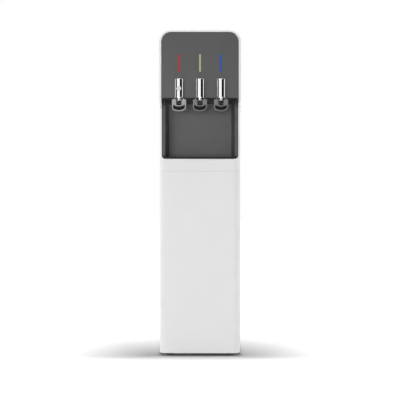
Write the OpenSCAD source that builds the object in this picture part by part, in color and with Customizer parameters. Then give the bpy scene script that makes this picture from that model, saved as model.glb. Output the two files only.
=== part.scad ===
// Free-standing water dispenser with three lever taps over a drip tray

/* [Cabinet] */
// Width of the cabinet and of the head
body_w = 260; // [250:1:300]
// Depth from the cabinet's front face to its rear edge
body_d = 340; // [335:1:400]
// Gap between the floor and the panels
foot_h = 8; // [6:0.5:12]
// Height of the lower panels
lower_h = 582; // [560:1:640]
// Height of the white band under the alcove
band_h = 40; // [38:1:60]
// Radius of the vertical front edges
corner_r = 24; // [18:1:28]
// Wall of the moulded upper casing
casing_t = 3; // [2.5:0.1:3.5]
// Sheet of the lower panels
panel_t = 2.5; // [2:0.1:3]
// Thickness of the deck plate, whose edge shows as the seam
deck_t = 1.5; // [1:0.1:2]
// How far the deck plate's edge lies back in the seam
seam_inset = 1; // [0.5:0.1:1.5]
// Length of the front panel's returns along the sides
return_l = 60; // [40:1:80]
// How far the rear panels lie in from the rear edge
rear_set = 10; // [8:1:16]

/* [Head] */
// Height of the head above the alcove
head_h = 216; // [205:1:240]
// How far the head stands out over the cabinet front
head_reach = 20; // [14:1:26]
// Radius of the head's upper corners
top_r = 38; // [24:1:40]
// Width of the white rim round the dark fascia
rim_w = 7; // [6:0.5:8]
// Rounding of the rim's outer edge
rim_r = 5; // [3:0.5:5.5]
// Radius of the cove under the head's ends
cove_r = 14; // [8:1:14]
// Thickness of the fascia
fascia_t = 3; // [2.5:0.1:3.5]

/* [Alcove] */
// Clear height of the alcove
alcove_h = 192; // [180:1:230]
// Depth of the alcove's back wall behind the cabinet front
alcove_d = 120; // [110:1:124]
// Width of the strips beside the alcove
jamb_w = 11; // [9:0.5:13]
// How far the strips lie behind the cabinet front
jamb_set = 12; // [12:0.5:15]
// How much each side wall closes in toward the back
splay = 5.5; // [4:0.5:9]
// Radius of the corners of the front opening
ear_r = 11; // [8:0.5:12]
// Wall of the alcove liner
liner_t = 2.5; // [2:0.1:3]
// Rounding of the alcove's rear corners
back_r = 3; // [2:0.5:10]

/* [Drip tray] */
// Height of the tray's front lip
lip_h = 5.5; // [4:0.5:12]
// Thickness of the front lip
lip_t = 8; // [6:0.5:8]
// Depth of the tray's well
tray_depth = 26; // [20:1:30]
// Wall of the tray
tray_t = 2; // [1.6:0.1:2.4]
// Width of a slot in the grille
slot_w = 6; // [5:0.5:7]
// Pitch of the slots
slot_pitch = 12; // [11:0.5:15]

/* [Taps] */
// Distance of the outer taps from the cabinet's sides
tap_in = 64; // [60:1:66]
// Width of a tap body
tap_w = 44; // [42:1:48]
// Height of a tap body
tap_h = 36.5; // [35.5:0.5:40]
// How far the top of a tap body lies under the head
tap_drop = 8.5; // [7:0.5:10]
// Width of a lever
lever_d = 24; // [20:0.5:26]
// Length of a lever above its pivot
lever_l = 77; // [68:1:85]
// Space between a lever and the fascia
lever_gap = 4; // [3:0.5:6]
// Width of the slot that holds the lever's tang
fork_w = 17; // [15:0.5:19]
// Diameter of the pivot pins
pin_d = 5; // [4:0.1:5.5]
// Length of the arm that lifts the valve stem
tail_l = 14; // [13:0.5:15]
// Diameter of the safety button
button_d = 14.5; // [12:0.5:16]

/* [Light strips] */
// Width of a light strip
strip_w = 6; // [4:0.5:8]
// Height of a light strip
strip_h = 55.5; // [45:0.5:65]
// Height of the strips' lower ends above the head's lower edge
strip_rise = 83; // [78:1:95]

/* [Inside] */
// Outer radius of the cold tank
cold_r = 72; // [60:1:74]
// Height of the cold tank
cold_h = 170; // [140:1:180]
// Thickness of the tanks' insulation
insul_t = 20; // [15:1:20]
// Outer radius of the hot tank
hot_r = 62; // [50:1:64]
// Height of the hot tank
hot_h = 130; // [110:1:140]
// Radius of the compressor shell
comp_r = 72; // [60:1:76]
// Height of the compressor shell
comp_h = 165; // [140:1:180]
// Radius of the filter cartridge
filter_r = 34; // [28:1:36]
// Length of the filter cartridge
filter_l = 250; // [200:1:280]
// Diameter of the water hoses
hose_d = 10; // [8:0.5:11]
// Diameter of the mains tube that the inlet takes
mains_d = 6.5; // [6.35:0.05:8.2]

/* [Fits] */
// Clearance between pieces that fit into each other
fit = 0.3; // [0.2:0.05:0.4]
// Radial clearance of running pins and stems
run = 0.05; // [0.03:0.01:0.08]

/* [Hidden] */
$fn = 48;
over = 1;

seam_z = foot_h + lower_h;
sill_z = seam_z + band_h;
head_z = sill_z + alcove_h;
body_h = head_z + head_h;
deck_top = seam_z + deck_t / 2;
deck_bottom = seam_z - deck_t / 2;

lever_u = -(head_reach + lever_gap + lever_d / 2);
button_out = 1.5;
front_reach = lever_d / 2 - lever_u + button_out;
front_y = (front_reach - body_d) / 2;

open_w = body_w - 2 * rim_w;
rim_depth = head_reach + corner_r + 6;
soffit_z = head_z - ear_r;
fascia_u = -head_reach + 0.5;
fascia_back = fascia_u + fascia_t;
fascia_w = open_w - 2 * fit;
rear_u = body_d - rear_set;
rear_t = 1.5;
tongue_t = 1.5;
tongue_l = 12;
flange_w = 10;

jamb_in = open_w / 2 - jamb_w;
back_in = jamb_in - splay;
straight_l = back_r + 8;
tray_gap = 0.8;
tray_front = jamb_set + liner_t + tray_gap;
tray_back = alcove_d - 3;
tray_w = 2 * (back_in - 3);
tray_rim = 5;
tray_rim_t = 2.5;
grille_t = 3;
lip_w = open_w - ear_r;
lip_u = 3;

tap_pitch = body_w / 2 - tap_in;
tap_x = [-tap_pitch, 0, tap_pitch];
tap_front = lever_u - lever_d / 2 + 1;
tap_back = 6;
tap_top = head_z - tap_drop;
tap_bottom = tap_top - tap_h;
tap_r = 13;
belly_r = 31;
mouth_wall = 3.6;
mouth_depth = 14;
mouth_h = 22;
mouth_floor = 2.2;
mouth_floor_r = 29;
brow_z = 14.2;
brow_r = 31;
pivot_z = tap_top - 12.5;
eye_r = pin_d / 2 + 2.5;
fork_z = pivot_z - eye_r - 0.5;
tang_w = 9;
stem_u = lever_u + tail_l;
stem_r = 3;
tip_r = 2;
tip_gap = 0.25;
chamber_r = 9;
chamber_z = tap_bottom + 7;
chamber_h = fork_z - 1.5 - chamber_z;
outlet_r = 4;
neck_r = 9;
neck_u = -5;
neck_top = head_z + 36;
hose_z = neck_top - 8;
barb_u = 16;
button_z = pivot_z + 46;
button_deep = 8;
button_travel = 3;
lever_crown = 17;
lever_t = 19;
lever_foot = 18.5;
lever_tip = 10;
pin_l = fork_w + 12;
pin_seat = 0.02;
seat_r = 6;
seat_h = 3.5;

strip_z = head_z + strip_rise;
strip_flange_t = 2;
board_w = 2 * tap_pitch + 50;
board_h = 46;
board_t = 1.6;
board_u = fascia_back + 12;
board_z = strip_z + strip_h / 2;
board_bosses = [for (sx = [-1, 1], sz = [-1, 1]) [sx * (board_w / 2 - 8), board_z + sz * (board_h / 2 - 8)]];
fascia_top = body_h - rim_w - fit;
fascia_r = top_r - rim_w - fit;
tray_r = 10;
tray_ledge = 3;
power_w = 27;
power_h = 20;
switch_wall = 2;
drain_r = 6;
lid_t = 18;
screw_r = 1.5;
trunnion_r = 1.5;

tank_u = rear_u - 2 - cold_r - insul_t;
stand_z = deck_top + hot_h + 2 * insul_t + 26;
sheet_t = 2;
stand_w = body_w - 50;
cold_z = stand_z + insul_t;
tank_wall = 1;
coil_r = 4;
coil_turns = 8;
nozzle_r = 5;
cold_out_x = 46;
hot_out_x = -46;
hot_out_z = deck_top + insul_t + hot_h - 20;
cold_out_z = hose_z - 14;
hot_tip_u = tank_u - hot_r - insul_t + 6;
cold_tip_u = tank_u - cold_r - insul_t + 6;
coil_gap = 2;
coil_pitch = 13;
coil_z = cold_out_z + nozzle_r + coil_r + 6;
rise_u = alcove_d + liner_t + 1.5 + hose_d / 2;

tray_floor = foot_h + 2;
base_w = body_w - 2 * (panel_t + tongue_t + fit);
foot_r = 16;
foot_stem_r = 4;
foot_in = 34;
foot_boss = 16;
foot_travel = 10;
comp_x = 12;
comp_u = 205;
comp_z = tray_floor + 16;
mount_r = 11;
mount_span = comp_r - 4;
mount_depth = 50;
cond_w = 176;
cond_u = rear_u - 36;
cond_z = tray_floor + 60;
cond_rows = 11;
cond_pitch = 30;
cond_r = 3.5;
bracket_in = (cond_w - cond_pitch) / 2 - 9;
bracket_d = 23;
filter_u = 58;
filter_head_h = 38;
filter_port_z = deck_bottom - 18;
filter_out_u = filter_u + filter_r + 16;
filter_in_x = filter_r + 16;
inlet_x = -(body_w / 2 - 22);
inlet_z = tray_floor + 62;
inlet_body_r = 10;
inlet_out = 7;
inlet_tail_u = rear_u - 20;
switch_z = body_h - 26;
switch_x = [-26, 26];
switch_w = 13;
switch_h = 20;
switch_tilt = 8;
drain_x = [-45, 45];
drain_z = deck_top + 30;
power_x = body_w / 2 - 60;
power_z = tray_floor + 70;
vent_w = 5;
vent_l = 120;
vent_pitch = 13;
vent_rise = 150;

white = "white";
dark = [0.34, 0.34, 0.35];
black = [0.07, 0.07, 0.07];
chrome = [0.85, 0.86, 0.88];
steel = [0.72, 0.73, 0.75];
foam = [0.93, 0.93, 0.9];
hot_grey = [0.66, 0.66, 0.66];
mid_grey = [0.42, 0.42, 0.43];

// Places a piece at x, at u behind the cabinet front and at height z
module place(x, u, z) {
    translate([x, front_y + u, z]) children();
}

// Extrudes a front view backward from u by d
module front_extrude(u, d) {
    translate([0, front_y + u + d, 0]) rotate([90, 0, 0]) linear_extrude(d) children();
}

// Extrudes a side view, drawn as u and z, across the width w
module side_extrude(w) {
    translate([0, front_y, 0]) rotate([90, 0, 90]) linear_extrude(w, center = true) children();
}

// Extrudes a plan view, drawn as x and u, from z0 to z1
module plan_extrude(z0, z1) {
    translate([0, front_y, z0]) linear_extrude(z1 - z0) children();
}

// Rectangle standing on y = 0, centred on x, with its two upper corners rounded
module arch_2d(w, h, r) {
    translate([-w / 2, 0]) square([w, h - r]);
    translate([-w / 2 + r, 0]) square([w - 2 * r, h]);
    for (s = [-1, 1]) translate([s * (w / 2 - r), h - r]) circle(r);
}

// Plan of a box of width w from u0 to u1 with rounded front corners
module plan_2d(w, u0, u1, r) {
    translate([0, u1]) mirror([0, 1]) arch_2d(w, u1 - u0, r);
}

// Rectangle with four rounded corners, centred
module round_rect(w, h, r) {
    square([w - 2 * r, h], center = true);
    square([w, h - 2 * r], center = true);
    for (sx = [-1, 1], sy = [-1, 1]) translate([sx * (w / 2 - r), sy * (h / 2 - r)]) circle(r);
}

// Corner piece left between a square of side r and its inscribed quarter circle
module fillet_2d(r) {
    difference() {
        square(r);
        circle(r);
    }
}

// Sweeps a wall section up both sides and over the top of the head: x is inward, y is u
module arch_sweep(w, top, r, z0) {
    for (side = [0, 1]) mirror([side, 0, 0]) {
        place(-w / 2, 0, z0) linear_extrude(top - r - z0) children();
        place(w / 2 - r, 0, top - r) rotate([-90, 0, 0]) rotate([0, 0, -90])
            rotate_extrude(angle = 90) translate([r, 0]) mirror([1, 0]) children();
    }
    place(-w / 2 + r, 0, top) rotate([0, 90, 0]) linear_extrude(w - 2 * r) children();
}

// Cylinder along u from u0 to u1
module rod_u(x, z, r, u0, u1) {
    place(x, u0, z) rotate([-90, 0, 0]) cylinder(r = r, h = u1 - u0);
}

// Cylinder along x, centred on x
module rod_x(x, u, z, r, l) {
    place(x, u, z) rotate([0, 90, 0]) cylinder(r = r, h = l, center = true);
}

// Row of horizontal slots with round ends, cut through a rear panel
module vent_rows(x, z, l, count) {
    front_extrude(rear_u - over, rear_t + 2 * over)
        for (i = [0 : count - 1]) translate([x, z + i * vent_pitch]) {
            square([l - vent_w, vent_w], center = true);
            for (s = [-1, 1]) translate([s * (l - vent_w) / 2, 0]) circle(vent_w / 2);
        }
}

screw_in = 30;
screw_x = body_w / 2 - screw_in;
screw_edge = 14;
screw_rows = [
    foot_h + screw_edge, deck_bottom - panel_t - screw_edge, deck_top + screw_edge,
    body_h - top_r - 2 * screw_edge
];

// Clearance holes for the screws of the rear panels
module screw_holes() {
    for (s = [-1, 1], z = screw_rows)
        rod_u(s * screw_x, z, screw_r + fit / 2, rear_u - over, rear_u + rear_t + over);
}

foot_x = body_w / 2 - foot_in;
foot_places = [for (u = [foot_in, rear_u - foot_in], s = [-1, 1]) [s * foot_x, u]];

module base_tray() {
    wall_h = 22;
    wall_top = foot_h + wall_h;
    front = panel_t + fit;
    r = corner_r - panel_t - fit;
    color(steel) difference() {
        union() {
            difference() {
                plan_extrude(foot_h, wall_top) plan_2d(base_w, front, rear_u - fit, r);
                plan_extrude(tray_floor, wall_top + over)
                    plan_2d(base_w - 2 * sheet_t, front + sheet_t, rear_u - fit - sheet_t, r - sheet_t);
            }
            for (p = foot_places) place(p[0], p[1], foot_h) cylinder(r = foot_stem_r + 4, h = foot_boss);
        }
        for (p = foot_places)
            place(p[0], p[1], foot_h - over) cylinder(r = foot_stem_r + run, h = foot_boss + 2 * over);
    }
}

module levelling_foot(p) {
    edge = 2;
    color(black) place(p[0], p[1], 0) {
        cylinder(r1 = foot_r - edge, r2 = foot_r, h = edge);
        translate([0, 0, edge]) cylinder(r = foot_r, h = foot_h - edge);
        cylinder(r = foot_stem_r, h = foot_h + foot_boss + foot_travel);
    }
}

module foot_front_left() {
    levelling_foot(foot_places[0]);
}

module foot_front_right() {
    levelling_foot(foot_places[1]);
}

module foot_rear_left() {
    levelling_foot(foot_places[2]);
}

module foot_rear_right() {
    levelling_foot(foot_places[3]);
}

module base_front_panel() {
    color(white) difference() {
        plan_extrude(foot_h, deck_bottom) plan_2d(body_w, 0, return_l, corner_r);
        plan_extrude(foot_h - over, deck_bottom - panel_t)
            plan_2d(body_w - 2 * panel_t, panel_t, return_l + over, corner_r - panel_t);
        plan_extrude(deck_bottom - panel_t - over, deck_bottom + over)
            plan_2d(body_w - 2 * flange_w, flange_w, return_l + over, corner_r - flange_w);
    }
}

// Left side panel, with the tongue that laps behind the front panel's return
module side_panel() {
    u0 = return_l + fit;
    z1 = deck_bottom - panel_t;
    color(white) {
        place(-body_w / 2, u0, foot_h) cube([panel_t, body_d - u0, deck_bottom - foot_h]);
        place(-body_w / 2 + panel_t, return_l - tongue_l, foot_h)
            cube([tongue_t, 2 * tongue_l, z1 - fit - foot_h]);
        place(-body_w / 2, u0, z1) cube([flange_w, body_d - u0, panel_t]);
    }
}

module base_left_panel() {
    side_panel();
}

module base_right_panel() {
    mirror([1, 0, 0]) side_panel();
}

module base_rear_panel() {
    w = body_w - 2 * panel_t - 2 * fit;
    z1 = deck_bottom - panel_t - fit;
    color(white) difference() {
        place(-w / 2, rear_u, foot_h) cube([w, rear_t, z1 - foot_h]);
        vent_rows(0, tray_floor + vent_rise, vent_l, 22);
        screw_holes();
        rod_u(inlet_x, inlet_z, inlet_body_r - 2 + fit, rear_u - over, rear_u + rear_t + over);
        front_extrude(rear_u - over, rear_t + 2 * over)
            translate([power_x, power_z]) square([power_w + 2 * fit, power_h + 2 * fit], center = true);
    }
}

module deck_plate() {
    hole_r = hose_d / 2 + 3;
    color(steel) difference() {
        plan_extrude(deck_bottom, deck_top)
            plan_2d(body_w - 2 * seam_inset, seam_inset, rear_u - fit, corner_r - seam_inset);
        place(0, rise_u, deck_bottom - over) cylinder(r = hole_r, h = deck_t + 2 * over);
    }
}

// Section of the upper casing's wall, thicker round the front opening
module casing_section() {
    translate([0, rim_r - head_reach]) square([rim_w, rim_depth - rim_r]);
    translate([rim_r, -head_reach]) square([rim_w - rim_r, rim_depth]);
    translate([rim_r, rim_r - head_reach]) intersection() {
        circle(rim_r);
        translate([-rim_r, -rim_r]) square(rim_r);
    }
    square([casing_t, body_d]);
}

// Cuts the vertical front edges round from z0 to z1 and fades out above
module edge_cut(z0, z1, fade) {
    side = corner_r + over;
    for (m = [0, 1]) mirror([m, 0, 0]) place(body_w / 2 - corner_r, corner_r, z0) difference() {
        translate([0, -side, 0]) cube([side, side, z1 + fade - z0]);
        translate([0, 0, -over]) cylinder(r = corner_r, h = z1 - z0 + over);
        translate([0, 0, z1 - z0]) cylinder(r1 = corner_r, r2 = 1.5 * side, h = fade + over);
    }
}

// Rounds the front edge of the sill and of its curved ends
module sill_cut() {
    r = 2;
    side_extrude(open_w - 2 * ear_r) translate([r, sill_z - r]) mirror([1, 0]) fillet_2d(r);
    for (m = [0, 1]) mirror([m, 0, 0])
        place(open_w / 2 - ear_r, 0, sill_z + ear_r) rotate([-90, 0, 0]) rotate_extrude(angle = 90)
            translate([ear_r + r, r]) rotate(180) fillet_2d(r);
}

module upper_casing() {
    rail_h = 9;
    bar = corner_r + 6;
    fade = 14;
    cove_z = soffit_z - cove_r;
    color(white) difference() {
        union() {
            arch_sweep(body_w, body_h, top_r, deck_top) casing_section();
            place(-body_w / 2, 0, deck_top) cube([body_w, bar, sill_z - deck_top]);
            front_extrude(0, jamb_set) for (m = [0, 1]) mirror([m, 0])
                translate([open_w / 2 - ear_r, sill_z + ear_r]) mirror([0, 1]) fillet_2d(ear_r);
        }
        side_extrude(body_w + 2 * over) difference() {
            translate([-head_reach - over, deck_top - over])
                square([head_reach + over, soffit_z - deck_top + over]);
            translate([-cove_r, cove_z]) fillet_2d(cove_r);
        }
        edge_cut(deck_top - over, cove_z - fade, fade);
        plan_extrude(deck_top - over, sill_z - rail_h)
            plan_2d(body_w - 2 * casing_t, casing_t, bar + over, corner_r - casing_t);
        place(-open_w / 2, jamb_set, sill_z - rail_h - over) cube([open_w, bar, rail_h + 2 * over]);
        sill_cut();
    }
}

module upper_rear_panel() {
    w = body_w - 2 * casing_t - 2 * fit;
    r = top_r - casing_t - fit;
    color(white) difference() {
        front_extrude(rear_u, rear_t)
            translate([0, deck_top]) arch_2d(w, body_h - casing_t - fit - deck_top, r);
        vent_rows(0, deck_top + vent_rise, vent_l, 12);
        screw_holes();
        for (x = switch_x) front_extrude(rear_u - over, rear_t + 2 * over)
            translate([x, switch_z])
                square([switch_w + 2 * switch_wall, switch_h + 2 * switch_wall], center = true);
        for (x = drain_x) rod_u(x, drain_z, drain_r + fit, rear_u - over, rear_u + rear_t + over);
    }
}

// Front view of the fascia, with concave ends that reach down beside the alcove
module fascia_2d() {
    translate([0, head_z]) arch_2d(fascia_w, fascia_top - head_z, fascia_r);
    for (m = [0, 1]) mirror([m, 0]) translate([fascia_w / 2 - ear_r, soffit_z]) fillet_2d(ear_r);
}

module head_fascia() {
    flange_l = 16;
    color(dark) difference() {
        union() {
            front_extrude(fascia_u, fascia_t) fascia_2d();
            arch_sweep(fascia_w, fascia_top, fascia_r, head_z)
                translate([0, fascia_u]) square([fascia_t, flange_l]);
            for (p = board_bosses) rod_u(p[0], p[1], 4, fascia_back - over, board_u);
        }
        for (x = tap_x) front_extrude(fascia_u - over, fascia_t + 2 * over)
            translate([x - strip_w / 2, strip_z]) square([strip_w, strip_h]);
    }
}

// Plan of the alcove grown outward by g, from u0 to its back wall
module alcove_plan(g, u0) {
    knee = alcove_d - straight_l;
    polygon([
        [-jamb_in - g, u0], [jamb_in + g, u0], [jamb_in + g, jamb_set], [back_in + g, knee],
        [-back_in - g, knee], [-jamb_in - g, jamb_set]
    ]);
    translate([0, knee - over]) arch_2d(2 * (back_in + g), straight_l + over + g, back_r + g);
}

// Side view of the cove that leads each jamb strip forward under the head
module jamb_cove_2d() {
    brim = 1.5;
    r = jamb_set - fascia_back - fit;
    translate([jamb_set - r, head_z - fit - brim - r]) difference() {
        square([r + over, r + brim]);
        circle(r);
    }
}

module alcove_liner() {
    jamb_out = open_w / 2 - fit;
    soffit_w = 2 * (fascia_w / 2 - fascia_t - fit);
    color(dark) difference() {
        union() {
            plan_extrude(sill_z - liner_t, head_z + liner_t) alcove_plan(liner_t, jamb_set);
            for (m = [0, 1]) mirror([m, 0, 0]) place(jamb_in, jamb_set, sill_z)
                cube([jamb_out - jamb_in, liner_t, alcove_h]);
            for (s = [-1, 1]) translate([s * (jamb_in + jamb_out) / 2, 0, 0])
                side_extrude(jamb_out - jamb_in) jamb_cove_2d();
            place(-soffit_w / 2, fascia_back, head_z)
                cube([soffit_w, jamb_set + liner_t - fascia_back, liner_t]);
        }
        plan_extrude(sill_z, head_z) alcove_plan(0, jamb_set - over);
        plan_extrude(sill_z - liner_t - over, sill_z + over) tray_plan(tray_gap);
        for (x = tap_x) place(x, neck_u, head_z - over) cylinder(r = neck_r + fit, h = liner_t + 2 * over);
    }
}

// Plan of the tray's well grown outward by g
module tray_plan(g) {
    w = tray_w - 2 * tray_rim + 2 * g;
    d = tray_back - tray_rim - tray_front - tray_t + 2 * g;
    translate([0, (tray_front + tray_t + tray_back - tray_rim) / 2]) round_rect(w, d, tray_r + g);
}

// Front view of the tray's lip, with round lower corners
module lip_2d() {
    z0 = sill_z + fit;
    r = lip_h - 0.5;
    translate([0, z0 + lip_h]) mirror([0, 1]) arch_2d(lip_w, lip_h, r);
}

module drip_tray() {
    bridge_w = 2 * (jamb_in - 1.5);
    ledge_z = sill_z + tray_rim_t - grille_t;
    color(black) difference() {
        union() {
            plan_extrude(sill_z - tray_depth, sill_z + over) tray_plan(0);
            plan_extrude(sill_z, sill_z + tray_rim_t) translate([0, tray_front])
                arch_2d(tray_w, tray_back - tray_front, tray_rim - 1);
            place(-bridge_w / 2, lip_u + lip_t / 2, sill_z + fit)
                cube([bridge_w, tray_front - lip_u - lip_t / 2 + over, tray_rim_t - fit]);
            front_extrude(lip_u, lip_t) lip_2d();
        }
        plan_extrude(sill_z - tray_depth + tray_t, sill_z) tray_plan(-tray_t - tray_ledge);
        plan_extrude(ledge_z, sill_z + tray_rim_t + over) tray_plan(-tray_t);
    }
}

module drip_grille() {
    g = tray_t + fit;
    w = tray_w - 2 * tray_rim - 2 * g;
    d = tray_back - tray_rim - tray_front - tray_t - 2 * g;
    mid = (tray_front + tray_t + tray_back - tray_rim) / 2;
    slot_l = d - 20;
    side = floor((w / 2 - 12) / slot_pitch);
    z1 = sill_z + tray_rim_t;
    color(dark) difference() {
        plan_extrude(z1 - grille_t, z1) tray_plan(-g);
        plan_extrude(z1 - grille_t - over, z1 + over) for (i = [-side : side])
            translate([i * slot_pitch, mid]) round_rect(slot_w, slot_l, slot_w / 2 - 0.01);
    }
}

// Light pipe in the fascia, with the flange that holds it from behind
module light_strip(x, tint) {
    edge = 2.5;
    proud = 0.4;
    gap = fit / 2;
    color(tint) {
        front_extrude(fascia_u - proud, fascia_t + proud + over)
            translate([x - strip_w / 2 + gap, strip_z + gap]) square([strip_w - 2 * gap, strip_h - 2 * gap]);
        front_extrude(fascia_back, strip_flange_t)
            translate([x - strip_w / 2 - edge, strip_z - edge])
                square([strip_w + 2 * edge, strip_h + 2 * edge]);
    }
}

module hot_strip() {
    light_strip(tap_x[0], [0.75, 0.12, 0.12]);
}

module ambient_strip() {
    light_strip(tap_x[1], [0.75, 0.78, 0.45]);
}

module cold_strip() {
    light_strip(tap_x[2], [0.12, 0.25, 0.7]);
}

// Board on the fascia's bosses, with one lamp block behind each strip
module indicator_board() {
    lamp_w = 8;
    lamp_in = 8;
    lamp_h = board_h - 2 * lamp_in;
    lamp_u = fascia_back + strip_flange_t + fit;
    color([0.1, 0.35, 0.2]) {
        place(-board_w / 2, board_u, board_z - board_h / 2) cube([board_w, board_t, board_h]);
        for (x = tap_x) place(x - lamp_w / 2, lamp_u, board_z - lamp_h / 2)
            cube([lamp_w, board_u - lamp_u + over / 2, lamp_h]);
    }
}

// Front view of a tap body: straight sides on a round belly
module tap_2d() {
    intersection() {
        translate([0, tap_top]) mirror([0, 1]) arch_2d(tap_w, tap_h, tap_r);
        translate([0, tap_bottom + belly_r]) circle(belly_r);
    }
}

// Front view of the wide mouth between its round floor and the brow over it, drawn in by g
module mouth_2d(g) {
    w = tap_w - 2 * (mouth_wall + g);
    difference() {
        intersection() {
            translate([-w / 2, tap_bottom]) square([w, mouth_h]);
            translate([0, tap_bottom + mouth_floor + mouth_floor_r]) circle(mouth_floor_r - g);
        }
        translate([0, tap_bottom + brow_z + brow_r]) circle(brow_r + g);
    }
}

// Front view of the two horns that flank the foot of the lever
module horns_2d() {
    inner = lever_d / 2 + 0.8;
    tip_w = 0.8;
    foot_w = 5;
    rise = 5.5;
    for (m = [0, 1]) mirror([m, 0]) translate([inner, tap_top]) polygon([
        [0, -over], [foot_w, -over], [foot_w, 0], [tip_w, rise], [0, rise]
    ]);
}

// Side view of what the rising underside and the round front edge of a tap body take away
module tap_trim_2d() {
    lip_rise = 0.5;
    rise = 0.25;
    edge_r = 3;
    keel_u = tap_front + mouth_depth;
    polygon([
        [tap_front - over, tap_bottom], [tap_front, tap_bottom], [keel_u, tap_bottom + lip_rise],
        [tap_back + over, tap_bottom + lip_rise + rise * (tap_back + over - keel_u)],
        [tap_back + over, tap_bottom - over], [tap_front - over, tap_bottom - over]
    ]);
    translate([tap_front + edge_r, tap_top - edge_r]) mirror([1, 0]) difference() {
        square(edge_r + over);
        circle(edge_r);
    }
}

// Tap body with its fork, valve chamber, outlet, mouth and neck
module tap_body(x, tint) {
    fork_back = stem_u + 8;
    scoop_r = 11;
    scoop_d = 9;
    horn_d = 12;
    passage_r = 3;
    color(tint) translate([x, 0, 0]) difference() {
        union() {
            difference() {
                front_extrude(tap_front, tap_back - tap_front) tap_2d();
                side_extrude(tap_w + 2 * over) tap_trim_2d();
            }
            front_extrude(lever_u - horn_d / 2, horn_d) horns_2d();
            place(0, neck_u, tap_top - over) cylinder(r = neck_r, h = neck_top - tap_top + over);
            rod_u(0, hose_z, hose_d / 2, neck_u, barb_u);
        }
        place(-fork_w / 2, tap_front - over, fork_z) cube([fork_w, fork_back - tap_front + over, tap_h]);
        front_extrude(tap_front - over, scoop_d) intersection() {
            translate([0, fork_z - 2 + scoop_r]) circle(scoop_r);
            translate([-fork_w / 2, tap_bottom]) square([fork_w, tap_h]);
        }
        rod_x(0, lever_u, pivot_z, pin_d / 2 + pin_seat, pin_l + fit);
        front_extrude(tap_front - over, mouth_depth + over) mouth_2d(0);
        place(0, stem_u, chamber_z) cylinder(r = chamber_r, h = chamber_h);
        place(0, stem_u, chamber_z) cylinder(r = stem_r + run, h = tap_h);
        place(0, stem_u, tap_bottom - over) cylinder(r = outlet_r, h = chamber_z - tap_bottom + 2 * over);
        rod_u(0, chamber_z + chamber_h / 2, passage_r, stem_u, neck_u);
        place(0, neck_u, chamber_z + chamber_h / 2)
            cylinder(r = passage_r, h = hose_z - chamber_z - chamber_h / 2);
        rod_u(0, hose_z, passage_r, neck_u, barb_u + over);
    }
}

module hot_tap_body() {
    tap_body(tap_x[0], hot_grey);
}

module ambient_tap_body() {
    tap_body(tap_x[1], mid_grey);
}

module cold_tap_body() {
    tap_body(tap_x[2], mid_grey);
}

// Black insert at the back of each mouth
module tap_spouts() {
    recess = 5;
    color(black) for (x = tap_x) translate([x, 0, 0])
        front_extrude(tap_front + recess, mouth_depth - recess) mouth_2d(fit / 2);
}

module pivot_pins() {
    color(steel) for (x = tap_x) rod_x(x, lever_u, pivot_z, pin_d / 2, pin_l);
}

// Bar of a lever: crowned front, flat sides and a back with round edges
module lever_bar() {
    edge = 0.8;
    back_r = 4;
    r = lever_crown;
    intersection() {
        translate([0, r - lever_d / 2, 0]) rotate_extrude() {
            polygon([
                [0, lever_foot], [r - edge, lever_foot], [r, lever_foot + edge], [r, lever_l - edge],
                [r - edge, lever_l], [0, lever_l]
            ]);
            for (z = [lever_foot + edge, lever_l - edge]) translate([r - edge, z]) circle(edge);
        }
        translate([0, -lever_d / 2, lever_foot - over]) linear_extrude(lever_l - lever_foot + 2 * over)
            arch_2d(lever_d, lever_t, back_r);
    }
}

// Lever on a flat tang, with the eye and the arm that lifts the stem
module lever(x) {
    neck = 6.8;
    tip = 3.5;
    taper = 4;
    tang_d = 7;
    tail_w = 7;
    tail_t = 3;
    color(chrome) difference() {
        union() {
            place(x, lever_u, pivot_z) {
                lever_bar();
                rotate_extrude() polygon([
                    [0, lever_tip], [tip, lever_tip], [neck, lever_tip + taper], [neck, lever_foot + over],
                    [0, lever_foot + over]
                ]);
                translate([-tang_w / 2, -tang_d / 2, 0]) cube([tang_w, tang_d, lever_foot]);
                translate([-tail_w / 2, 0, -tail_t / 2]) cube([tail_w, tail_l, tail_t]);
            }
            rod_x(x, lever_u, pivot_z, eye_r, fork_w - 1);
            rod_x(x, stem_u, pivot_z, tip_r, tail_w);
        }
        rod_x(x, lever_u, pivot_z, pin_d / 2 + run, fork_w + 2 * over);
    }
}

module hot_lever() {
    pocket = button_deep + button_travel + fit - button_out;
    face = lever_u - lever_d / 2;
    color(chrome) difference() {
        lever(tap_x[0]);
        rod_u(tap_x[0], button_z, button_d / 2 + run, face - over, face + pocket);
    }
}

module ambient_lever() {
    lever(tap_x[1]);
}

module cold_lever() {
    lever(tap_x[2]);
}

module safety_button() {
    front = lever_u - lever_d / 2 - button_out;
    edge = 1;
    color([0.85, 0.85, 0.85]) {
        rod_u(tap_x[0], button_z, button_d / 2, front + edge, front + button_deep);
        rod_u(tap_x[0], button_z, button_d / 2 - edge, front, front + button_deep);
    }
}

// Valve stem: guided rod and the slotted head that takes the lever's tip
module valve_stem(x) {
    head_w = 10;
    head_h = 9;
    head_front = -1.5;
    head_d = 5.5;
    slot_h = 2 * (tip_r + tip_gap);
    color(steel) difference() {
        union() {
            place(x, stem_u, chamber_z + seat_h)
                cylinder(r = stem_r, h = pivot_z - head_h / 2 + over - chamber_z - seat_h);
            place(x - head_w / 2, stem_u + head_front, pivot_z - head_h / 2) cube([head_w, head_d, head_h]);
        }
        place(x - head_w / 2 - over, stem_u - head_w, pivot_z - slot_h / 2)
            cube([head_w + 2 * over, head_w + tip_r + 2 * tip_gap, slot_h]);
    }
}

module hot_stem() {
    valve_stem(tap_x[0]);
}

module ambient_stem() {
    valve_stem(tap_x[1]);
}

module cold_stem() {
    valve_stem(tap_x[2]);
}

// Silicone plug that closes the outlet
module valve_seat(x) {
    color([0.9, 0.9, 0.88]) place(x, stem_u, chamber_z) cylinder(r = seat_r, h = seat_h);
}

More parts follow.
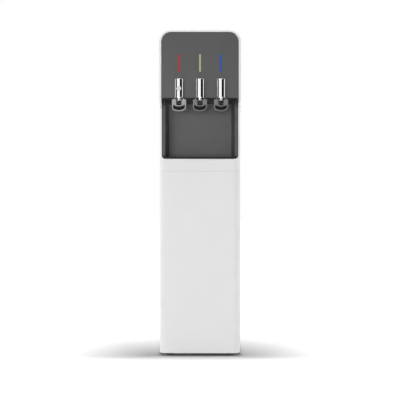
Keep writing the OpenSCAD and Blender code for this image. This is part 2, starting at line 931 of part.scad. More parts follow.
module hot_seat() {
    valve_seat(tap_x[0]);
}

module ambient_seat() {
    valve_seat(tap_x[1]);
}

module cold_seat() {
    valve_seat(tap_x[2]);
}

// Direction of a route at its point i
function heading(p, i) =
    let (d = p[min(i + 1, len(p) - 1)] - p[max(i - 1, 0)])
    d / norm(d);

// One normal per point of a route, carried along it without twist
function normals(p, n, i = 0) =
    i >= len(p) ? [] :
    let (t = heading(p, i), m = n - (n * t) * t, u = m / norm(m))
    concat([u], normals(p, u, i + 1));

// Smooth curve through the points of a route with k steps between points and straight end legs
function smooth(p, k) = [
    for (i = [0 : len(p) - 2], s = [0 : k - 1])
        let (
            t = s / k,
            end = i == 0 || i == len(p) - 2,
            b = p[i],
            c = p[i + 1],
            a = end ? 2 * b - c : p[i - 1],
            d = end ? 2 * c - b : p[i + 2]
        )
        (2 * b + (c - a) * t + (2 * a - 5 * b + 4 * c - d) * t * t + (3 * b - a - 3 * c + d) * t * t * t) / 2,
    p[len(p) - 1]
];

// Round tube of radius r and n sides along the points p
module tube(p, r, n) {
    start = abs(heading(p, 0).x) < 0.9 ? [1, 0, 0] : [0, 1, 0];
    side = normals(p, start);
    last = len(p) - 1;
    points = [
        for (i = [0 : last], k = [0 : n - 1])
            let (a = 360 * k / n)
            p[i] + r * (cos(a) * side[i] + sin(a) * cross(heading(p, i), side[i]))
    ];
    walls = [
        for (i = [0 : last - 1], k = [0 : n - 1], half = [0, 1])
            let (a = i * n + k, b = i * n + (k + 1) % n)
            half == 0 ? [a, a + n, b] : [b, a + n, b + n]
    ];
    start_cap = [[for (k = [0 : n - 1]) k]];
    end_cap = [[for (k = [n - 1 : -1 : 0]) last * n + k]];
    translate([0, front_y, 0]) polyhedron(points, concat(walls, start_cap, end_cap));
}

hose_sides = 10;
hose_steps = 3;
hose_lead = 8;
hose_bend = 13;

module cold_hose() {
    x = tap_x[2];
    route = [
        [cold_out_x, cold_tip_u, cold_out_z],
        [cold_out_x, cold_tip_u - hose_lead, cold_out_z],
        [(cold_out_x + x) / 2, (cold_tip_u + barb_u) / 2, (cold_out_z + hose_z) / 2],
        [x, barb_u + hose_lead, hose_z],
        [x, barb_u, hose_z]
    ];
    color([0.4, 0.5, 0.7]) tube(smooth(route, hose_steps), hose_d / 2, hose_sides);
}

module ambient_hose() {
    route = [
        [0, filter_out_u, filter_port_z],
        [0, filter_out_u + hose_lead, filter_port_z],
        [0, rise_u, filter_port_z + hose_bend],
        [0, rise_u, deck_top + hose_bend],
        [0, rise_u, head_z - hose_bend],
        [0, rise_u, hose_z - hose_bend],
        [0, rise_u - hose_bend, hose_z],
        [0, rise_u - 2 * hose_bend, hose_z],
        [0, barb_u + hose_lead, hose_z],
        [0, barb_u, hose_z]
    ];
    color([0.8, 0.8, 0.75]) tube(smooth(route, hose_steps), hose_d / 2, hose_sides);
}

module hot_hose() {
    x = tap_x[0];
    route = [
        [hot_out_x, hot_tip_u, hot_out_z],
        [hot_out_x, hot_tip_u - hose_lead, hot_out_z],
        [hot_out_x, rise_u, hot_out_z + hose_bend],
        [hot_out_x, rise_u, hot_out_z + 3 * hose_bend],
        [x, rise_u, hose_z - hose_bend],
        [x, rise_u - hose_bend, hose_z],
        [x, rise_u - 2 * hose_bend, hose_z],
        [x, barb_u + hose_lead, hose_z],
        [x, barb_u, hose_z]
    ];
    color([0.7, 0.4, 0.35]) tube(smooth(route, hose_steps), hose_d / 2, hose_sides);
}

module feed_hose() {
    rise = filter_port_z - inlet_z;
    u_fall = inlet_tail_u - filter_u;
    route = [
        [inlet_x, inlet_tail_u, inlet_z],
        [inlet_x, inlet_tail_u - hose_lead, inlet_z],
        [inlet_x, inlet_tail_u - 0.18 * u_fall, inlet_z + 0.04 * rise],
        [inlet_x, inlet_tail_u - 0.45 * u_fall, inlet_z + 0.27 * rise],
        [inlet_x, inlet_tail_u - 0.8 * u_fall, inlet_z + 0.7 * rise],
        [inlet_x + hose_bend / 2, filter_u + hose_bend, filter_port_z - 2 * hose_bend],
        [-filter_in_x - 2.5 * hose_bend, filter_u, filter_port_z],
        [-filter_in_x - hose_lead, filter_u, filter_port_z],
        [-filter_in_x, filter_u, filter_port_z]
    ];
    color([0.85, 0.85, 0.85]) tube(smooth(route, hose_steps), hose_d / 2, hose_sides);
}

// Copper tube wound round the cold tank
module evaporator_coil() {
    ring = cold_r + coil_r + coil_gap;
    steps = 16;
    route = [
        for (i = [0 : coil_turns * steps])
            let (a = 360 * i / steps)
            [ring * cos(a), tank_u + ring * sin(a), coil_z + coil_pitch * i / steps]
    ];
    color([0.72, 0.45, 0.3]) tube(route, coil_r, 6);
}

// Thin-walled tank with an outlet toward the front
module tank(r, h, z, out_x, out_z, tip_u) {
    color(steel) difference() {
        union() {
            place(0, tank_u, z) cylinder(r = r, h = h);
            rod_u(out_x, out_z, nozzle_r, tip_u, tank_u - r / 2);
        }
        place(0, tank_u, z + tank_wall) cylinder(r = r - tank_wall, h = h - 2 * tank_wall);
        rod_u(out_x, out_z, nozzle_r - tank_wall, tip_u - over, tank_u - r / 2);
    }
}

// Foam cup round a tank, with the outlet's hole
module foam_cup(r_in, r_out, z0, floor_t, z1, out_x, out_z) {
    color(foam) difference() {
        place(0, tank_u, z0) cylinder(r = r_out, h = z1 - z0);
        place(0, tank_u, z0 + floor_t) cylinder(r = r_in, h = z1 - z0);
        rod_u(out_x, out_z, nozzle_r + fit, tank_u - r_out - over, tank_u);
    }
}

module cold_tank() {
    tank(cold_r, cold_h, cold_z, cold_out_x, cold_out_z, cold_tip_u);
}

module cold_insulation() {
    inner = cold_r + 2 * coil_r + coil_gap + 0.5;
    foam_cup(inner, cold_r + insul_t, stand_z, insul_t, cold_z + cold_h, cold_out_x, cold_out_z);
}

module cold_tank_lid() {
    plug_h = 8;
    color(foam) place(0, tank_u, cold_z + cold_h) {
        cylinder(r = cold_r + insul_t, h = lid_t - plug_h);
        cylinder(r = cold_r, h = lid_t);
    }
}

module hot_tank() {
    tank(hot_r, hot_h, deck_top + insul_t, hot_out_x, hot_out_z, hot_tip_u);
}

module hot_insulation() {
    z1 = deck_top + insul_t + hot_h;
    foam_cup(hot_r + fit, hot_r + insul_t, deck_top, insul_t, z1, hot_out_x, hot_out_z);
}

// Sheet stand that carries the cold tank over the hot one
module tank_stand() {
    u0 = tank_u - cold_r - 10;
    d = rear_u - fit - u0;
    hole_r = 45;
    color(steel) difference() {
        place(-stand_w / 2, u0, deck_top) cube([stand_w, d, stand_z - deck_top]);
        place(-stand_w / 2 + sheet_t, u0 - over, deck_top - over)
            cube([stand_w - 2 * sheet_t, d + 2 * over, stand_z - sheet_t - deck_top + over]);
        place(0, tank_u, stand_z - sheet_t - over) cylinder(r = hole_r, h = sheet_t + 2 * over);
    }
}

module compressor() {
    shell_edge = 30;
    plate_w = 2 * mount_span + 30;
    plate_d = 2 * mount_depth + 30;
    color(black) {
        place(comp_x, comp_u, comp_z) rotate_extrude() {
            square([comp_r - shell_edge, comp_h]);
            square([comp_r, comp_h - shell_edge]);
            intersection() {
                translate([comp_r - shell_edge, comp_h - shell_edge]) circle(shell_edge);
                square([comp_r, comp_h]);
            }
        }
        place(comp_x - plate_w / 2, comp_u - plate_d / 2, comp_z - sheet_t) cube([plate_w, plate_d, sheet_t]);
    }
}

module compressor_mounts() {
    waist = 3;
    h = comp_z - sheet_t - tray_floor;
    color(black) for (sx = [-1, 1], sy = [-1, 1])
        place(comp_x + sx * mount_span, comp_u + sy * mount_depth, tray_floor) {
            cylinder(r = mount_r - waist, h = h);
            cylinder(r = mount_r, h = h / 3);
            translate([0, 0, 2 * h / 3]) cylinder(r = mount_r, h = h / 3);
        }
}

// Serpentine of tubes between two side brackets that stand on the base tray
module condenser() {
    run_w = cond_w - cond_pitch;
    top = cond_z + (cond_rows - 1) * cond_pitch;
    color(black) {
        for (i = [0 : cond_rows - 1]) rod_x(0, cond_u, cond_z + i * cond_pitch, cond_r, run_w);
        for (i = [0 : cond_rows - 2])
            place((i % 2 == 0 ? 1 : -1) * run_w / 2, cond_u, cond_z + (i + 0.5) * cond_pitch)
                rotate([90, i % 2 == 0 ? 0 : 180, 0]) rotate([0, 0, -90]) rotate_extrude(angle = 180)
                    translate([cond_pitch / 2, 0]) circle(cond_r);
        for (s = [-1, 1]) place(s * (bracket_in + sheet_t / 2) - sheet_t / 2, cond_u - bracket_d, tray_floor)
            cube([sheet_t, bracket_d + 2 * cond_r, top + 12 - tray_floor]);
    }
}

// Copper filter drier clipped to a condenser bracket above the compressor
module filter_drier() {
    r = 10;
    pipe_r = 3;
    l = 70;
    cone = 9;
    u = cond_u - cond_r - r - fit;
    color([0.72, 0.45, 0.3]) place(bracket_in - r - fit, u, comp_z + comp_h + 30) rotate_extrude()
        polygon([
            [0, -cone - pipe_r], [pipe_r, -cone - pipe_r], [pipe_r, -cone], [r, 0], [r, l],
            [pipe_r, l + cone], [pipe_r, l + cone + pipe_r], [0, l + cone + pipe_r]
        ]);
}

module filter_head() {
    r = filter_r + 4;
    port_r = hose_d / 2;
    color(white) {
        place(0, filter_u, deck_bottom - filter_head_h) cylinder(r = r, h = filter_head_h);
        rod_u(0, filter_port_z, port_r, filter_u, filter_out_u);
        rod_x(-filter_in_x / 2, filter_u, filter_port_z, port_r, filter_in_x);
    }
}

module filter_cartridge() {
    end_r = 12;
    color(foam) place(0, filter_u, deck_bottom - filter_head_h - filter_l) rotate_extrude() {
        translate([0, end_r]) square([filter_r, filter_l - end_r]);
        square([filter_r - end_r, filter_l]);
        intersection() {
            translate([filter_r - end_r, end_r]) circle(end_r);
            square([filter_r, filter_l]);
        }
    }
}

// Bulkhead fitting that takes the mains tube from the rear
module inlet_fitting() {
    nut_h = 5;
    bore_l = 16;
    mouth_u = rear_u + rear_t + inlet_out;
    color(foam) difference() {
        union() {
            rod_u(inlet_x, inlet_z, inlet_body_r - 2, inlet_tail_u + 6, mouth_u);
            rod_u(inlet_x, inlet_z, hose_d / 2, inlet_tail_u, mouth_u);
            for (u = [rear_u + rear_t, rear_u - nut_h])
                place(inlet_x, u, inlet_z) rotate([-90, 0, 0])
                    cylinder(r = inlet_body_r + 1, h = nut_h, $fn = 6);
        }
        rod_u(inlet_x, inlet_z, mains_d / 2, mouth_u - bore_l, mouth_u + over);
    }
}

// Mains socket: flanged body with its cavity and three blades
module power_inlet() {
    flange_w = power_w + 12;
    flange_h = power_h + 6;
    flange_t = 2.5;
    deep = 22;
    wall = 1.8;
    blade_u = rear_u - 6;
    face = rear_u + rear_t + flange_t;
    color(black) {
        difference() {
            union() {
                place(power_x - flange_w / 2, rear_u + rear_t, power_z - flange_h / 2)
                    cube([flange_w, flange_t, flange_h]);
                place(power_x - power_w / 2, rear_u - deep, power_z - power_h / 2)
                    cube([power_w, deep + rear_t + over, power_h]);
            }
            place(power_x - power_w / 2 + wall, rear_u - deep + wall, power_z - power_h / 2 + wall)
                cube([power_w - 2 * wall, face - rear_u + deep, power_h - 2 * wall]);
        }
        for (i = [-1 : 1])
            place(power_x + 7 * i - 1, rear_u - deep + over, power_z - 2 + (i == 0 ? 3 : -1))
                cube([2, blade_u - rear_u + deep - over, 4]);
    }
}

// Frames of the two rear switches
module switch_housings() {
    w = switch_w + 2 * switch_wall - 2 * fit;
    h = switch_h + 2 * switch_wall - 2 * fit;
    deep = 11;
    lip = 2;
    lip_t = 1.5;
    color(black) for (x = switch_x) difference() {
        union() {
            place(x - w / 2, rear_u - deep, switch_z - h / 2) cube([w, deep + rear_t + lip_t, h]);
            place(x - w / 2 - lip, rear_u + rear_t, switch_z - h / 2 - lip)
                cube([w + 2 * lip, lip_t, h + 2 * lip]);
        }
        place(x - switch_w / 2 - fit, rear_u - deep - over, switch_z - switch_h / 2)
            cube([switch_w + 2 * fit, deep + rear_t + lip_t + 2 * over, switch_h]);
        rod_x(x, rear_u, switch_z, trunnion_r + run, w + 2 * over);
    }
}

// Rocker tilted to one stop, with a shallow V face and two trunnions
module rocker(x, tint) {
    r = switch_h / 2 - 0.5;
    face = 4.3;
    dip = 1.3;
    color(tint) {
        translate([x, 0, 0]) side_extrude(switch_w)
            translate([rear_u, switch_z]) rotate(switch_tilt) intersection() {
                circle(r);
                polygon([[-r, -r], [face, -r], [face - dip, 0], [face, r], [-r, r]]);
            }
        rod_x(x, rear_u, switch_z, trunnion_r, switch_w + 2 * switch_wall - 2 * fit);
    }
}

module heater_switch() {
    rocker(switch_x[0], [0.7, 0.1, 0.1]);
}

module cooler_switch() {
    rocker(switch_x[1], [0.1, 0.35, 0.2]);
}

// Drain plugs on the upper rear panel, with coin slots
module drain_plugs() {
    knob_r = 9;
    knob_l = 6;
    tail = 8;
    coin_w = 2;
    coin_d = 2;
    face = rear_u + rear_t + knob_l;
    color(dark) for (x = drain_x) difference() {
        union() {
            rod_u(x, drain_z, drain_r, rear_u - tail, face);
            rod_u(x, drain_z, knob_r, rear_u + rear_t, face);
        }
        place(x - knob_r - over, face - coin_d, drain_z - coin_w / 2)
            cube([2 * (knob_r + over), coin_d + over, coin_w]);
    }
}

// Pan-head screws of both rear panels, with crowned heads and cross recesses
module case_screws() {
    head_r = 3.5;
    head_h = 2;
    crown = 0.9;
    cross_w = 0.9;
    cross_l = 4;
    cross_d = 1.1;
    face = rear_u + rear_t + head_h;
    color(steel) for (s = [-1, 1], z = screw_rows) difference() {
        union() {
            rod_u(s * screw_x, z, head_r, rear_u + rear_t, face - crown);
            place(s * screw_x, face - crown, z) rotate([-90, 0, 0])
                cylinder(r1 = head_r, r2 = head_r - crown, h = crown);
            rod_u(s * screw_x, z, screw_r, rear_u, face - crown);
        }
        for (arm = [[cross_l, cross_w], [cross_w, cross_l]])
            place(s * screw_x - arm.x / 2, face - cross_d, z - arm.y / 2)
                cube([arm.x, cross_d + over, arm.y]);
    }
}

base_tray();
base_front_panel();
base_left_panel();
base_right_panel();
base_rear_panel();
foot_front_left();
foot_front_right();
foot_rear_left();
foot_rear_right();
compressor();
compressor_mounts();
condenser();
filter_drier();
filter_head();
filter_cartridge();
inlet_fitting();
feed_hose();
power_inlet();
deck_plate();
upper_casing();
upper_rear_panel();
head_fascia();
alcove_liner();
drip_tray();
drip_grille();
hot_strip();
ambient_strip();
cold_strip();
indicator_board();
tank_stand();
cold_tank();
cold_tank_lid();
cold_insulation();
evaporator_coil();
hot_tank();
hot_insulation();
hot_hose();
ambient_hose();
cold_hose();
switch_housings();
heater_switch();
cooler_switch();
drain_plugs();
case_screws();
hot_tap_body();
ambient_tap_body();
cold_tap_body();
hot_lever();
ambient_lever();
cold_lever();
hot_stem();
ambient_stem();
cold_stem();
hot_seat();
ambient_seat();
cold_seat();
tap_spouts();
pivot_pins();
safety_button();
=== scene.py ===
"""Looks, light and camera of the free-standing water dispenser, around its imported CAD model."""

import math

import bpy
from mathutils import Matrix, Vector


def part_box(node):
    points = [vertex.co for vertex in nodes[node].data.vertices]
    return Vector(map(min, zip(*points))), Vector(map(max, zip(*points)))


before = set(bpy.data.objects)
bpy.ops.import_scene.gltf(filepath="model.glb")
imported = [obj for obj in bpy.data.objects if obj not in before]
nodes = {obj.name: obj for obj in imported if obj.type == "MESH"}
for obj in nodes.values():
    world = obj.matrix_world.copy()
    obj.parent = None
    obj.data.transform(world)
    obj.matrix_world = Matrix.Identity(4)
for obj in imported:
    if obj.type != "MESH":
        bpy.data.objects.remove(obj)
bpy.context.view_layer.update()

# Lengths are in metres, and colours are linear.

# Camera: level, so that its height is the picture's middle, and fitted to the photograph's outline
EYE_HEIGHT = 0.498
CAMERA_DISTANCE = 2.2
LENS_MM = 61.9
SENSOR_MM = 36.0

# Radius that the moulded edges show, and the samples that soften them
EDGE_SOFT = 0.0006
EDGE_SAMPLES = 4

# Part of a noise's range that a colour or a roughness follows, and how fine each noise is
NOISE_SPAN = (0.3, 0.7)
TINT_DETAIL = 3.0
ROUGH_DETAIL = 4.0
GRAIN_DETAIL = 2.0

# Noise cells per metre of a surface's drift in colour and in roughness, and how far these drift
MOULDED_TINT_CELLS = 14.0
MOULDED_ROUGH_CELLS = 40.0
MOULDED_ROUGH_SPREAD = 0.04
METAL_TINT_CELLS = 30.0
METAL_TINT_SPREAD = 0.015
METAL_ROUGH_CELLS = 80.0
METAL_ROUGH_SPREAD = 0.03

# Height of a lever's grey eye, and of the black tang on it under the chrome bar, whose black is partly
# its plastic and partly painted shade of the slot that it sits in
EYE_RISE = 0.0102
TANG_RISE = 0.0148
CHROME_ROUGH = 0.03
TANG_ROUGH = 0.6
TANG_GLOSS = 0.1

# How far behind the cabinet front the strips beside the alcove end
JAMB_BACK = 0.0146

# Wall of the alcove liner, how far below its ceiling the painted shade on the strips starts and is
# darkest, and the same for the edge of the ceiling's painted shade
LINER_WALL = 0.0025
STRIP_PAINTED_SHADE_FADE = (0.030, 0.014)
SOFFIT_PAINTED_SHADE_FADE = (0.0006, 0.0003)

# Own light of the coloured strips
STRIP_GLOW = 0.05

# Surroundings as a light, weak in front and stronger behind, and the span of directions between the two
FRONT_FILL = 0.12
BACK_FILL = 0.6
FILL_TURN = (-0.35, 0.45)

# Lamps, at which a colour renders about as it is written: name, place, aim, width, height, watts
LAMPS = [
    ("front", (-0.6, -4.1, 0.42), (0, 0, 0.48), 1.6, 0.8, 67),
    ("top", (0, 0, 3.2), (0, 0, 0), 2.6, 2.6, 52),
    ("left", (-2.2, 0.55, 0.6), (0, 0.05, 0.55), 1.0, 1.1, 15),
    ("right", (2.2, 0.55, 0.6), (0, 0.05, 0.55), 1.0, 1.1, 15),
]

# Cards that only polished surfaces reflect: name, degrees to the right of straight in front, width, tone
CARDS = [("black_card", 40.5, 2.54, 0.0), ("grey_card", -58.5, 1.44, 0.01)]
CARD_DISTANCE = 2.6
CARD_HEIGHT = 4.0
CARD_MIDDLE = 0.7

# Shade on the floor: where it is full, how far it fades to the sides, the back and the front, and the
# width of the contact shadow that stays all round the foot
SHADE_CENTRE = (-0.02, -0.14)
SHADE_HALF = 0.13
SIDE_FADE = 0.42
BACK_FADE = 0.46
FRONT_FADE = 0.105
CONTACT = 0.010

# Floor: its size, its small drop under the feet, its colour for the light that it throws back, and its
# colour in the picture, which the white glow away from the object adds to
FLOOR_SIZE = 30.0
FLOOR_DROP = 0.0005
FLOOR_BOUNCE = (0.93, 0.93, 0.93)
FLOOR_SEEN = (0.50, 0.50, 0.50)
BACKGROUND = (1, 1, 1, 1)

WHITE = (0.85, 0.85, 0.85)
SEAM_WHITE = (0.73, 0.73, 0.73)
DARK_GREY = (0.083, 0.083, 0.084)
JAMB_GREY = (0.084, 0.084, 0.085)
# Painted light: the inside of the alcove is paler than its strips, making up for the shade in the recess
LINER_PAINTED_LIGHT_GREY = (0.136, 0.136, 0.138)
# Painted shade: the alcove's ceiling under the head, darker than the rest of the liner
SOFFIT_PAINTED_SHADE_GREY = (0.060, 0.060, 0.061)
# Painted shade on the strips beside the alcove, darkest just under the head
STRIP_PAINTED_SHADE = (0.018, 0.018, 0.018)
BLACK = (0.010, 0.010, 0.011)
TRAY_BLACK = (0.021, 0.021, 0.022)
EYE_GREY = (0.045, 0.045, 0.046)
HOT_GREY = (0.35, 0.35, 0.35)
TAP_GREY = (0.158, 0.158, 0.160)
CHROME = (0.93, 0.93, 0.94)
BUTTON_GREY = (0.68, 0.68, 0.68)
STEEL = (0.55, 0.55, 0.56)
COPPER = (0.65, 0.33, 0.2)
FOAM = (0.78, 0.78, 0.74)
RED = (0.40, 0.032, 0.034)
YELLOW = (0.410, 0.437, 0.253)
BLUE = (0.014, 0.095, 0.425)
BOARD_GREEN = (0.02, 0.14, 0.06)
ROCKER_GREEN = (0.02, 0.20, 0.06)
HOSE_GREY = (0.55, 0.55, 0.55)


def new_material(name):
    """A node material, its tree and its Principled shader."""
    material = bpy.data.materials.new(name)
    material.use_nodes = True
    return material, material.node_tree, principled(material.node_tree)


def principled(tree):
    """The Principled shader of a material's tree."""
    return tree.nodes["Principled BSDF"]


def blank_material(name):
    """A node material with nothing but its output, its tree and the output's surface socket."""
    material = bpy.data.materials.new(name)
    material.use_nodes = True
    tree = material.node_tree
    tree.nodes.clear()
    output = tree.nodes.new("ShaderNodeOutputMaterial")
    return material, tree, output.inputs["Surface"]


def add_node(tree, kind, **values):
    """A node with its input values set by name, where _ stands for a space."""
    node = tree.nodes.new(kind)
    for key, value in values.items():
        node.inputs[key.replace("_", " ")].default_value = value
    return node


def number_math(tree, operation, first, second=0.0, clamp=False):
    """A number operation on a linked value and another one, linked or constant."""
    node = tree.nodes.new("ShaderNodeMath")
    node.operation = operation
    node.use_clamp = clamp
    tree.links.new(first, node.inputs[0])
    if isinstance(second, float):
        node.inputs[1].default_value = second
    else:
        tree.links.new(second, node.inputs[1])
    return node.outputs[0]


def place_along(tree, axis, space="Object"):
    """Place along one axis, which for a piece is its place at rest."""
    coords = tree.nodes.new("ShaderNodeTexCoord")
    split = tree.nodes.new("ShaderNodeSeparateXYZ")
    tree.links.new(coords.outputs[space], split.inputs["Vector"])
    return split.outputs[axis]


def object_noise(tree, cells, detail):
    """Noise that is fixed to the object, in noise cells per metre."""
    coords = tree.nodes.new("ShaderNodeTexCoord")
    noise = add_node(tree, "ShaderNodeTexNoise", Scale=cells, Detail=detail)
    tree.links.new(coords.outputs["Object"], noise.inputs["Vector"])
    return noise.outputs["Fac"]


def tint_by_noise(tree, color, cells, spread):
    """Base colour that drifts a little around the given one."""
    ramp = tree.nodes.new("ShaderNodeValToRGB")
    darker = [c * (1 - spread) for c in color]
    paler = [min(1, c * (1 + spread)) for c in color]
    for stop, position, tone in zip(ramp.color_ramp.elements, NOISE_SPAN, (darker, paler)):
        stop.position = position
        stop.color = tone + [1]
    tree.links.new(object_noise(tree, cells, TINT_DETAIL), ramp.inputs["Fac"])
    tree.links.new(ramp.outputs["Color"], principled(tree).inputs["Base Color"])


def rough_by_noise(tree, roughness, cells, spread):
    """Roughness that varies a little, as handling and moulding leave it."""
    low, high = NOISE_SPAN
    span = add_node(tree, "ShaderNodeMapRange", From_Min=low, From_Max=high,
                    To_Min=roughness - spread, To_Max=roughness + spread)
    tree.links.new(object_noise(tree, cells, ROUGH_DETAIL), span.inputs["Value"])
    tree.links.new(span.outputs["Result"], principled(tree).inputs["Roughness"])


def bump_by_noise(tree, cells, depth):
    """Fine relief of a moulded grain or a coat, on softened edges."""
    soft = add_node(tree, "ShaderNodeBevel", Radius=EDGE_SOFT)
    soft.samples = EDGE_SAMPLES
    bump = add_node(tree, "ShaderNodeBump", Strength=1.0, Distance=depth)
    tree.links.new(soft.outputs["Normal"], bump.inputs["Normal"])
    tree.links.new(object_noise(tree, cells, GRAIN_DETAIL), bump.inputs["Height"])
    tree.links.new(bump.outputs["Normal"], principled(tree).inputs["Normal"])


def moulded(name, color, roughness, grain=1500.0, depth=0.00003, spread=0.02, gloss=0.5):
    """Moulded or painted surface with a fine grain, given by its cells per metre and its depth."""
    material, tree, shader = new_material(name)
    tint_by_noise(tree, color, MOULDED_TINT_CELLS, spread)
    rough_by_noise(tree, roughness, MOULDED_ROUGH_CELLS, MOULDED_ROUGH_SPREAD)
    bump_by_noise(tree, grain, depth)
    shader.inputs["Specular IOR Level"].default_value = gloss
    return material


def metal(name, color, roughness, grain=600.0, depth=0.00001):
    """Bare or plated metal, whose roughness varies by half at most."""
    material, tree, shader = new_material(name)
    tint_by_noise(tree, color, METAL_TINT_CELLS, METAL_TINT_SPREAD)
    rough_by_noise(tree, roughness, METAL_ROUGH_CELLS, min(METAL_ROUGH_SPREAD, roughness / 2))
    bump_by_noise(tree, grain, depth)
    shader.inputs["Metallic"].default_value = 1.0
    return material


def step_above(tree, axis, level):
    """1 where the resting part lies above a level of one axis and 0 elsewhere."""
    return number_math(tree, "GREATER_THAN", place_along(tree, axis), level)


def fade_below(tree, ceiling, fade):
    """0 up at the ceiling and 1 further down, with an even change between the fade's two drops."""
    start, full = fade
    span = add_node(tree, "ShaderNodeMapRange", From_Min=ceiling - full, From_Max=ceiling - start)
    tree.links.new(place_along(tree, "Z"), span.inputs["Value"])
    return span.outputs["Result"]


def mix_below(tree, socket, step, color):
    """Puts a colour where the step is 0 on a shader's socket that is already linked."""
    target = principled(tree).inputs[socket]
    source = target.links[0].from_socket
    mix = tree.nodes.new("ShaderNodeMix")
    mix.data_type = "RGBA"
    mix.inputs["A"].default_value = (*color, 1)
    tree.links.new(step, mix.inputs["Factor"])
    tree.links.new(source, mix.inputs["B"])
    tree.links.new(mix.outputs["Result"], target)


def lever_chrome():
    """Chrome bar of a lever whose tang, below the bar, is black plastic, made black also as painted
    shade of the fork's slot, and whose eye is dark grey.
    """
    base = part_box("hot_lever")[0][2]
    material = metal("lever_chrome", CHROME, CHROME_ROUGH)
    tree = material.node_tree
    on_bar = step_above(tree, "Z", base + TANG_RISE)
    # Black tang below the bar: its own black plastic, and painted shade of the slot that it sits in
    mix_below(tree, "Base Color", on_bar, BLACK)
    mix_below(tree, "Base Color", step_above(tree, "Z", base + EYE_RISE), EYE_GREY)
    mix_below(tree, "Roughness", on_bar, (TANG_ROUGH,) * 3)
    principled(tree).inputs["Specular IOR Level"].default_value = TANG_GLOSS
    tree.links.new(on_bar, principled(tree).inputs["Metallic"])
    return material


def liner_moulding():
    """Alcove liner: inside paler than its strips as painted light, a ceiling darkened as painted shade,
    and front strips like the fascia with painted shade that darkens them upward.
    """
    strips_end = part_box("base_front_panel")[0][1] + JAMB_BACK
    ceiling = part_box("alcove_liner")[1][2] - LINER_WALL
    material = moulded("dark_liner", LINER_PAINTED_LIGHT_GREY, 0.5, grain=1800.0, depth=0.00004, spread=0.03,
                       gloss=0.25)
    tree = material.node_tree
    # Painted light: paler grey inside the alcove, the strips' darker grey in front of it
    inside = step_above(tree, "Y", strips_end)
    mix_below(tree, "Base Color", inside, JAMB_GREY)
    # Painted shade on the strips, darkening them upward to under the head; none inside the alcove
    clear_of_painted_shade = number_math(tree, "MAXIMUM", inside, fade_below(tree, ceiling, STRIP_PAINTED_SHADE_FADE))
    mix_below(tree, "Base Color", clear_of_painted_shade, STRIP_PAINTED_SHADE)
    # Painted shade on the alcove's ceiling
    mix_below(tree, "Base Color", fade_below(tree, ceiling, SOFFIT_PAINTED_SHADE_FADE), SOFFIT_PAINTED_SHADE_GREY)
    return material


def lit_strip(name, color):
    """Diffusing light pipe with a weak glow of its own."""
    material = moulded(name, color, 0.35, depth=0.00001, spread=0.03, gloss=0.2)
    shader = principled(material.node_tree)
    shader.inputs["Emission Color"].default_value = (*color, 1)
    shader.inputs["Emission Strength"].default_value = STRIP_GLOW
    return material


def casing_finishes():
    """Materials of the cabinet, head and alcove, rear fittings and rubber, with their nodes."""
    return [
        (moulded("white_moulding", WHITE, 0.6, grain=700.0, depth=0.00002, spread=0.01, gloss=0.15),
         ["upper_casing"]),
        (moulded("white_powder_coat", WHITE, 0.6, grain=1100.0, spread=0.01, gloss=0.15),
         ["base_front_panel", "base_left_panel", "base_right_panel", "base_rear_panel",
          "upper_rear_panel"]),
        (moulded("seam_paint", SEAM_WHITE, 0.5, grain=900.0, depth=0.00002, spread=0.01),
         ["deck_plate"]),
        (moulded("dark_fascia", DARK_GREY, 0.45, grain=1800.0, spread=0.03, gloss=0.3), ["head_fascia"]),
        (liner_moulding(), ["alcove_liner"]),
        (moulded("dark_fittings", DARK_GREY, 0.5, depth=0.00004, spread=0.03),
         ["drip_grille", "drain_plugs"]),
        (moulded("tray_black", TRAY_BLACK, 0.6, spread=0.04, gloss=0.12), ["drip_tray"]),
        (moulded("black_moulding", BLACK, 0.5, spread=0.04, gloss=0.25),
         ["power_inlet", "switch_housings"]),
        (moulded("rocker_red", RED, 0.3, depth=0.00001), ["heater_switch"]),
        (moulded("rocker_green", ROCKER_GREEN, 0.3, depth=0.00001), ["cooler_switch"]),
        (moulded("black_rubber", BLACK, 0.7, grain=1200.0, depth=0.00006, spread=0.04),
         ["compressor_mounts", "foot_front_left", "foot_front_right", "foot_rear_left",
          "foot_rear_right"]),
    ]


def tap_finishes():
    """Materials of the taps, their levers and the coloured strips, with their nodes."""
    return [
        (moulded("black_mouth", BLACK, 0.7, spread=0.04, gloss=0.15), ["tap_spouts"]),
        (moulded("hot_tap_grey", HOT_GREY, 0.4, depth=0.00002, gloss=0.35), ["hot_tap_body"]),
        (moulded("tap_grey", TAP_GREY, 0.4, depth=0.00002, gloss=0.35),
         ["ambient_tap_body", "cold_tap_body"]),
        (lever_chrome(), ["hot_lever", "ambient_lever", "cold_lever"]),
        (moulded("button_grey", BUTTON_GREY, 0.3, depth=0.00001, spread=0.01), ["safety_button"]),
        (lit_strip("strip_red", RED), ["hot_strip"]),
        (lit_strip("strip_yellow", YELLOW), ["ambient_strip"]),
        (lit_strip("strip_blue", BLUE), ["cold_strip"]),
    ]


def inner_finishes():
    """Materials of the pieces inside the casing and of its screws, with their nodes."""
    return [
        (moulded("board_green", BOARD_GREEN, 0.4, grain=1200.0, depth=0.00002), ["indicator_board"]),
        (metal("plain_steel", STEEL, 0.32),
         ["base_tray", "tank_stand", "cold_tank", "hot_tank", "case_screws", "pivot_pins",
          "hot_stem", "ambient_stem", "cold_stem"]),
        (moulded("black_enamel", BLACK, 0.3, grain=800.0, spread=0.04), ["compressor", "condenser"]),
        (metal("copper", COPPER, 0.3), ["evaporator_coil", "filter_drier"]),
        (moulded("foam", FOAM, 0.8, grain=260.0, depth=0.0004, spread=0.03),
         ["cold_insulation", "hot_insulation", "cold_tank_lid"]),
        (moulded("filter_white", FOAM, 0.45, grain=900.0, depth=0.00002),
         ["filter_head", "filter_cartridge", "inlet_fitting"]),
        (moulded("hose", HOSE_GREY, 0.5, grain=900.0),
         ["hot_hose", "ambient_hose", "cold_hose", "feed_hose", "hot_seat", "ambient_seat",
          "cold_seat"]),
    ]


